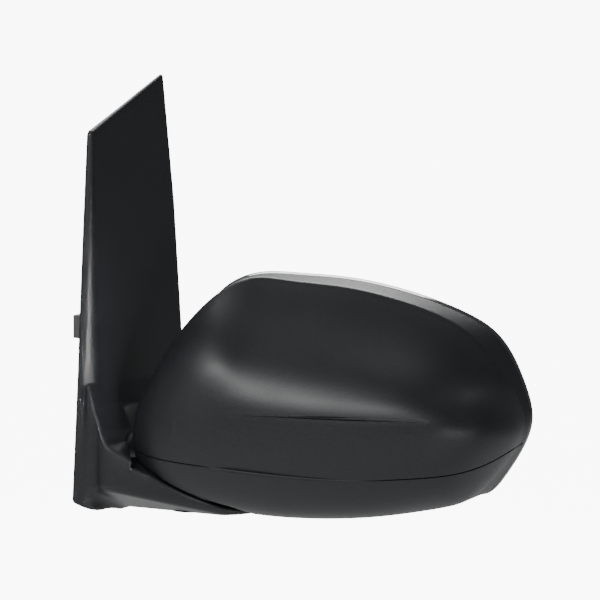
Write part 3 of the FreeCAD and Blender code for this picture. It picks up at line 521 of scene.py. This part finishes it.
# ---- mirror glass ---------------------------------------------------------------------------
GLASS_CENTRE = (88.0, 60.0)
GLASS_CURVE = 1400.0            # radius of the convex face
GLASS_TOP = 43.0
GLASS_THICK = 2.2
GLASS_INSET = 12.9
GLASS_RINGS = 12
# The ground edge as (share of the outline, drop from the face), down to the back.
GLASS_EDGE = [(0.992, 0.0), (0.998, 0.12), (1.0, 0.4), (1.0, GLASS_THICK - 0.3),
              (0.997, GLASS_THICK)]


def glass_plate(name, body):
    """A convex plate inside the rim outline, with a ground edge."""
    outline = closed_spline(inset_outline(RIM_POINTS, GLASS_INSET), AROUND)
    centre = np.array(GLASS_CENTRE)
    front_rings = [(k / GLASS_RINGS, 0.0) for k in range(1, GLASS_RINGS)]
    back_rings = [(k / GLASS_RINGS, GLASS_THICK) for k in range(GLASS_RINGS - 1, 0, -1)]
    layers = []
    for scale, drop in front_rings + GLASS_EDGE + back_rings:
        flat = centre + (outline - centre) * scale
        bow = np.sum((flat - centre) ** 2, 1) / (2 * GLASS_CURVE)
        layers.append(np.stack([flat[:, 0], GLASS_TOP - bow - drop, flat[:, 1]], 1))
    columns = len(outline)
    points = np.concatenate(layers + [[(centre[0], GLASS_TOP, centre[1])],
                                      [(centre[0], GLASS_TOP - GLASS_THICK, centre[1])]])
    faces = rows_to_faces(len(layers), columns)
    front = len(layers) * columns
    last = (len(layers) - 1) * columns
    for j in range(columns):
        k = (j + 1) % columns
        faces.append((k, j, front))
        faces.append((last + j, last + k, front + 1))
    obj = mesh_from(name, to_row(points), faces)
    face_outward(obj)
    smooth_by_angle(obj, 40)
    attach(obj, body)
    return obj


glass = glass_plate("mirror_glass_plate", "glass")
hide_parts("mirror_glass")

# ---- sail cover and arm, as one smooth moulding, in the frame's axes and millimetres --------
SAIL_FRONT = np.array([(-37.0, -54.4), (193.0, -34.4)])            # (z, y) of the front edge
SAIL_TOP = np.array([(-34.4, 191.8), (51.0, 218.9)])               # (y, z) of the top edge
SAIL_REAR = np.array([(-60, 63.3), (-34, 63), (64, 63.4), (88, 62.4), (141, 60), (219.5, 52),
                      (240, 50)])                                  # (z, y) of the rear edge
SAIL_DOOR_X = 0.4
SAIL_BOTTOM_X = 13.3
SAIL_SLOPE = 0.0392
SAIL_BOTTOM_Z = -36.0
SAIL_TIP_Z = 193
SAIL_UNDER_Z = -26.5            # height of the sail's lower edge at SAIL_UNDER_X
SAIL_UNDER_X = -10
SAIL_UNDER_SLOPE = -15.5 / 30
# (x, y) round the arm from above, and (x, z) round it from the front
ARM_PLAN = [(5, -41), (13, -47.8), (20, -50.7), (30, -48.7), (50, -38.5), (68, -30), (85, -22),
            (97, -10), (102.5, 4), (98, 15), (84, 21), (64, 22), (40, 19), (22, 20), (12, 24),
            (5, 22), (4, 0)]
ARM_SIDE = [(-20, 40), (9.4, 40), (11.0, 34), (13.2, 26), (16.6, 18.5), (20, 10.8), (24.5, 4.6),
            (31.6, -0.5), (39, -5), (46, -8), (60, -12), (110, -24), (110, -90), (-20, -90)]
ARM_FLOOR = -37.6
BELLY_FROM_Y = -18.0
BELLY_SLOPE = 0.45
BELLY_SCALE = 0.91              # turns a height over the belly's slope into a distance
# How far from the fold axis the arm is cleared above the fold surface, and from which v on.
FRONT_REACH = 47.2
SIDE_REACH = 50.4
REAR_REACH = 62.0
REAR_FROM_V = 5.0
SIDE_FROM_V = -12.0
PLUG_CENTRE = (57.6, -8.0)
PLUG_RADIUS = 12.0
PLUG_TOP_Z = -33
HUB_RADIUS = 16.2
HUB_FLOOR = -4.4                # along the fold axis
VOXEL = 0.7
FIELD_LOW = np.array([-2.1, -58.8, -42.0])
FIELD_HIGH = np.array([106.4, 66.5, 224.0])
FIELD_BAND = 3.0                # voxels kept on both sides of the surface
RELAX_PASSES = 4
RELAX_SHARE = 0.4


def smooth_max(a, b, k):
    """The larger of two fields, blended over a width k where they meet."""
    h = np.maximum(k - np.abs(a - b), 0) / k
    return np.maximum(a, b) + h * h * k / 4


def smooth_min(a, b, k):
    return -smooth_max(-a, -b, k)


def outline_distance(x, y, outline):
    """Signed distance from points of a plane grid to a closed outline, negative inside."""
    best = np.full(x.shape, 1e9)
    inside = np.zeros(x.shape, bool)
    for (x0, y0), (x1, y1) in zip(outline, np.roll(outline, -1, 0)):
        ex, ey = x1 - x0, y1 - y0
        t = np.clip(((x - x0) * ex + (y - y0) * ey) / (ex * ex + ey * ey + 1e-12), 0, 1)
        best = np.minimum(best, np.hypot(x - x0 - t * ex, y - y0 - t * ey))
        crosses = (y0 > y) != (y1 > y)
        at = x0 + (y - y0) * ex / (ey if abs(ey) > 1e-12 else 1e-12)
        inside ^= crosses & (x < at)
    return np.where(inside, -best, best)


def to_head(x, y, z):
    """Frame millimetres to head-frame (u, v, w)."""
    du = x - PIVOT[0]
    dv = y - PIVOT[1]
    return np.stack([du * U_DIR[0] + dv * U_DIR[1], du * V_DIR[0] + dv * V_DIR[1],
                     z - PIVOT[2]], -1)


def sail_field(x, y, z):
    """Signed distance of sail and arm together, with the door side left open."""
    slope = (SAIL_FRONT[1, 1] - SAIL_FRONT[0, 1]) / (SAIL_FRONT[1, 0] - SAIL_FRONT[0, 0])
    front = (SAIL_FRONT[0, 1] + slope * (z - SAIL_FRONT[0, 0]) - y) / math.hypot(1, slope)
    rear = y - np.interp(z, SAIL_REAR[:, 0], SAIL_REAR[:, 1])
    rise = (SAIL_TOP[1, 1] - SAIL_TOP[0, 1]) / (SAIL_TOP[1, 0] - SAIL_TOP[0, 0])
    top = (z - SAIL_TOP[0, 1] - rise * (y - SAIL_TOP[0, 0])) / math.hypot(1, rise)
    outer = (x - SAIL_BOTTOM_X + SAIL_SLOPE * (z - SAIL_BOTTOM_Z)) / math.hypot(1, SAIL_SLOPE)
    under = (SAIL_UNDER_Z + SAIL_UNDER_SLOPE * (x - SAIL_UNDER_X) - z) / math.hypot(
        1, SAIL_UNDER_SLOPE)
    # the rounding of the front edge grows from the tip down
    low = np.clip((SAIL_TIP_Z - z) / 170, 0, 1)
    wedge = smooth_max(front, outer, 2.8 + 16.0 * low ** 1.5)
    wedge = smooth_max(wedge, smooth_max(rear, top, 1.2), 2.2)
    wedge = smooth_max(wedge, under, 2.5)
    plan = outline_distance(x[:, :, 0], y[:, :, 0], closed_spline(ARM_PLAN, 8))[:, :, None]
    side = outline_distance(x[:, 0, :], z[:, 0, :], ARM_SIDE)[:, None, :]
    head = to_head(x, y, z)
    radius = about_fold(head)[1]
    # above the fold surface the arm is cleared out to a reach that differs round the axis
    cleared = np.maximum(FRONT_REACH - radius,
                         np.minimum(SIDE_REACH - radius, head[..., 1] - SIDE_FROM_V))
    cleared = np.maximum(cleared, np.minimum(REAR_REACH - radius, head[..., 1] - REAR_FROM_V))
    fold = np.minimum(fold_height(head) + FOLD_GAP / 2, cleared)
    cover = smooth_max(side, fold, 1.6)
    floor_z = ARM_FLOOR + BELLY_SLOPE * np.maximum(BELLY_FROM_Y - y, 0)
    arm = smooth_max(plan, cover, 2.6)
    arm = smooth_max(arm, (floor_z - z) * BELLY_SCALE, 3.5)
    # the fillet between sail and arm fades out towards the top of the arm
    fillet = 0.6 + 5.4 * np.clip((36 - z) / 30, 0, 1)
    return smooth_min(wedge, arm, fillet)


def sail_cover_mesh():
    """The sail and arm, hollowed from the door side, with the hub's seat and the plug's hole."""
    size = ((FIELD_HIGH - FIELD_LOW) / VOXEL).astype(int)
    x, y, z = np.meshgrid(*[FIELD_LOW[a] + VOXEL * np.arange(size[a]) for a in range(3)],
                          indexing="ij")
    body = sail_field(x, y, z)
    field = np.maximum(smooth_max(body, SAIL_DOOR_X - x, 1.2), -(body + WALL))
    along, radius = about_fold(to_head(x, y, z))
    hub = np.maximum(radius - HUB_RADIUS, HUB_FLOOR - along)
    field = np.maximum(field, -hub)
    from_plug = np.hypot(x - PLUG_CENTRE[0], y - PLUG_CENTRE[1])
    plug = np.maximum(from_plug - PLUG_RADIUS, z - PLUG_TOP_Z)
    field = np.maximum(field, -plug)
    volume = openvdb.FloatGrid(background=FIELD_BAND)
    volume.copyFromArray(np.clip(field / VOXEL, -FIELD_BAND, FIELD_BAND).astype(np.float32))
    points, quads = volume.convertToQuads()
    points = (np.asarray(points, float) * VOXEL + FIELD_LOW) * MM
    obj = mesh_from("sail_cover_moulding", points, [tuple(q) for q in quads[:, ::-1]])
    bm = bmesh.new()
    bm.from_mesh(obj.data)
    bmesh.ops.recalc_face_normals(bm, faces=bm.faces[:])
    for relaxed in range(RELAX_PASSES):
        bmesh.ops.smooth_vert(bm, verts=bm.verts[:], factor=RELAX_SHARE, use_axis_x=True,
                              use_axis_y=True, use_axis_z=True)
    bm.to_mesh(obj.data)
    bm.free()
    smooth_by_angle(obj, 75)
    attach(obj, "base")
    return obj


sail_cover = sail_cover_mesh()
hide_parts("sail_cover")


# ---- materials ------------------------------------------------------------------------------
def material(name, colour, roughness, metallic=0.0, specular=0.5, coat=0.0):
    mat = bpy.data.materials.new(name)
    mat.use_nodes = True
    shader = mat.node_tree.nodes["Principled BSDF"]
    shader.inputs["Base Color"].default_value = (*colour, 1)
    shader.inputs["Roughness"].default_value = roughness
    shader.inputs["Metallic"].default_value = metallic
    shader.inputs["Specular IOR Level"].default_value = specular
    shader.inputs["Coat Weight"].default_value = coat
    return mat, mat.node_tree, shader


def noise(tree, scale, detail=2.0, rough=0.5):
    """Noise in the object's own metres, so a scale is one over the size of a grain."""
    coords = tree.nodes.new("ShaderNodeTexCoord")
    node = tree.nodes.new("ShaderNodeTexNoise")
    node.inputs["Scale"].default_value = scale
    node.inputs["Detail"].default_value = detail
    node.inputs["Roughness"].default_value = rough
    tree.links.new(coords.outputs["Object"], node.inputs["Vector"])
    return node.outputs["Fac"]


def ramp(tree, value, low, high, low_out, high_out):
    """Map a value from (low, high) to (low_out, high_out)."""
    node = tree.nodes.new("ShaderNodeMapRange")
    node.inputs["From Min"].default_value = low
    node.inputs["From Max"].default_value = high
    node.inputs["To Min"].default_value = low_out
    node.inputs["To Max"].default_value = high_out
    tree.links.new(value, node.inputs["Value"])
    return node.outputs["Result"]


def tint(tree, value, dark, light):
    node = tree.nodes.new("ShaderNodeMix")
    node.data_type = "RGBA"
    node.inputs["A"].default_value = (*dark, 1)
    node.inputs["B"].default_value = (*light, 1)
    tree.links.new(value, node.inputs["Factor"])
    return node.outputs["Result"]


def bump(tree, shader, height, strength, distance):
    node = tree.nodes.new("ShaderNodeBump")
    node.inputs["Strength"].default_value = strength
    node.inputs["Distance"].default_value = distance
    tree.links.new(height, node.inputs["Height"])
    tree.links.new(node.outputs["Normal"], shader.inputs["Normal"])


def grained_plastic(name, dark, light, roughness, grain_mm, depth_mm, specular=0.4):
    """Spark-eroded moulding grain: fine pits, a faint tone change and uneven sheen."""
    mat, tree, shader = material(name, light, roughness, specular=specular)
    fine = noise(tree, 1 / (grain_mm * MM), 3.0, 0.6)
    broad = noise(tree, 18.0, 2.0)
    speck = ramp(tree, fine, 0.3, 0.7, 0.0, 1.0)
    tree.links.new(tint(tree, speck, dark, light), shader.inputs["Base Color"])
    tree.links.new(ramp(tree, broad, 0.3, 0.7, roughness - 0.03, roughness + 0.03),
                   shader.inputs["Roughness"])
    bump(tree, shader, fine, 0.6, depth_mm * MM)
    return mat


def brushed_metal(name, dark, light, roughness, grain_mm, depth_mm=0.02):
    """Bare metal with a fine grain in tone, sheen and relief."""
    mat, tree, shader = material(name, light, roughness, metallic=1.0)
    fine = noise(tree, 1 / (grain_mm * MM), 4.0, 0.6)
    tree.links.new(tint(tree, fine, dark, light), shader.inputs["Base Color"])
    tree.links.new(ramp(tree, fine, 0.3, 0.7, roughness - 0.08, roughness + 0.1),
                   shader.inputs["Roughness"])
    bump(tree, shader, fine, 0.3, depth_mm * MM)
    return mat


def plain_plastic(name, dark, light, roughness, coat=0.0):
    """Smooth moulded plastic with a faint cloudiness."""
    mat, tree, shader = material(name, light, roughness, coat=coat)
    cloud = noise(tree, 60.0, 3.0)
    tree.links.new(tint(tree, cloud, dark, light), shader.inputs["Base Color"])
    tree.links.new(ramp(tree, cloud, 0.3, 0.7, max(roughness - 0.03, 0.02), roughness + 0.03),
                   shader.inputs["Roughness"])
    bump(tree, shader, noise(tree, 900.0, 2.0), 0.08, 0.02 * MM)
    return mat


textured_black = grained_plastic("grained_black", (0.004, 0.0042, 0.0046),
                                 (0.010, 0.0105, 0.0125), 0.44, 0.6, 0.12, 0.28)
gloss_black = plain_plastic("gloss_black", (0.006, 0.006, 0.007), (0.009, 0.009, 0.010), 0.12,
                            coat=0.4)
inner_black = grained_plastic("inner_black", (0.028, 0.028, 0.029), (0.045, 0.045, 0.046),
                              0.55, 0.8, 0.04)
white_plastic = plain_plastic("acetal_white", (0.66, 0.65, 0.60), (0.76, 0.75, 0.70), 0.35)
die_cast = brushed_metal("die_cast", (0.38, 0.38, 0.39), (0.56, 0.56, 0.57), 0.42, 0.7, 0.05)
steel = brushed_metal("zinc_steel", (0.48, 0.48, 0.49), (0.62, 0.62, 0.62), 0.30, 0.3)
spring_steel = brushed_metal("spring_steel", (0.16, 0.16, 0.17), (0.27, 0.27, 0.28), 0.34, 0.3)
brass = brushed_metal("brass", (0.55, 0.40, 0.16), (0.72, 0.55, 0.25), 0.28, 0.3)
rubber = grained_plastic("rubber_black", (0.010, 0.010, 0.010), (0.020, 0.020, 0.020),
                         0.75, 0.6, 0.05)
heater_film = plain_plastic("heater_film", (0.08, 0.05, 0.03), (0.14, 0.10, 0.06), 0.5)

mirror_mat, mirror_tree, mirror_shader = material("mirror_chrome", (0.72, 0.75, 0.77), 0.02,
                                                  metallic=1.0)
smear = noise(mirror_tree, 35.0, 3.0)
mirror_tree.links.new(ramp(mirror_tree, smear, 0.35, 0.75, 0.015, 0.05),
                      mirror_shader.inputs["Roughness"])

SLOT_MATERIALS = {
    "textured_black": textured_black, "gloss_black": gloss_black, "inner_black": inner_black,
    "white_plastic": white_plastic, "die_cast": die_cast, "steel": steel,
    "spring_steel": spring_steel, "brass": brass, "rubber": rubber, "heater": heater_film,
    "mirror": mirror_mat,
}


def paint(obj, mat):
    obj.data.materials.clear()
    obj.data.materials.append(mat)


for subpart in frame["record"]["subparts"]:
    node_object = frame["nodes"][subpart["node"]]
    for place in node_object.material_slots:
        place.material = SLOT_MATERIALS[subpart["material_slot"]]
for piece in (upper_cap, lower_cover, cover_floor, sail_cover):
    paint(piece, textured_black)
paint(bezel, gloss_black)
paint(glass, mirror_mat)

# ---- floor, light and camera, in metres -----------------------------------------------------
BACKDROP_GLOW = 9.0             # seen by the camera only, so the backdrop is white
SKY_STRENGTH = 0.25             # what the sky adds to the light on the object
FLOOR_BELOW = 0.25
FLOOR_SIZE = 200


def seen_glow(tree, unseen, strength_socket):
    """A strength of BACKDROP_GLOW for the camera and of unseen for all other light paths."""
    eye = tree.nodes.new("ShaderNodeLightPath")
    glow = ramp(tree, eye.outputs["Is Camera Ray"], 0, 1, unseen, BACKDROP_GLOW)
    tree.links.new(glow, strength_socket)


white, white_tree, white_shader = material("studio_white", (0.8, 0.8, 0.8), 0.9, specular=0.1)
white_shader.inputs["Emission Color"].default_value = (1, 1, 1, 1)
seen_glow(white_tree, 0.0, white_shader.inputs["Emission Strength"])
bpy.ops.mesh.primitive_plane_add(size=FLOOR_SIZE,
                                 location=(0, 0, cad_box[0][2] - FLOOR_BELOW))
studio_floor = bpy.context.object
studio_floor.name = "studio_floor"
studio_floor.data.materials.append(white)

world = bpy.data.worlds.new("studio")
bpy.context.scene.world = world
world.use_nodes = True
backdrop = world.node_tree.nodes["Background"]
backdrop.inputs["Color"].default_value = (0.92, 0.96, 1, 1)
seen_glow(world.node_tree, SKY_STRENGTH, backdrop.inputs["Strength"])


def area_light(name, place, target, size, power):
    """A rectangular lamp at a place, aimed at a target; size in metres and power in watts."""
    lamp = bpy.data.lights.new(name, "AREA")
    lamp.shape = "RECTANGLE"
    lamp.size = size[0]
    lamp.size_y = size[1]
    lamp.energy = power
    obj = bpy.data.objects.new(name, lamp)
    obj.location = place
    aim = Vector(target) - Vector(place)
    obj.rotation_euler = aim.to_track_quat("-Z", "Y").to_euler()
    bpy.context.scene.collection.objects.link(obj)
    return obj


area_light("shoulder_strip", (0.0, -1.12, 0.90), (0.13, 0.0, 0.07), (0.9, 0.36), 34)
area_light("top_back", (-0.3, 0.73, 0.79), (0.12, 0.0, 0.08), (0.6, 0.45), 11)
area_light("low_right", (1.2, -0.5, -0.15), (0.15, 0.0, 0.05), (0.5, 0.35), 4)
edge_light = area_light("sail_edge", (0.80, -0.47, 0.06), (0.006, -0.050, 0.060),
                        (0.03, 0.12), 0.05)
edge_light.data.spread = math.radians(8)

TARGET = Vector((0.1292, 0.0, 0.0945))
VIEW_AZIMUTH = math.radians(30)
VIEW_ELEVATION = math.radians(8)
LENS = 500.0                    # millimetres, as is the sensor
SENSOR_WIDTH = 36.0
FRAME_WIDTH = 0.3598
distance = FRAME_WIDTH * LENS / SENSOR_WIDTH
camera_data = bpy.data.cameras.new("camera")
camera_data.lens = LENS
camera = bpy.data.objects.new("camera", camera_data)
bpy.context.scene.collection.objects.link(camera)
back = Vector((math.sin(VIEW_AZIMUTH) * math.cos(VIEW_ELEVATION),
               -math.cos(VIEW_AZIMUTH) * math.cos(VIEW_ELEVATION), math.sin(VIEW_ELEVATION)))
camera.location = TARGET + back * distance
camera.rotation_euler = (-back).to_track_quat("-Z", "Y").to_euler()
bpy.context.scene.camera = camera
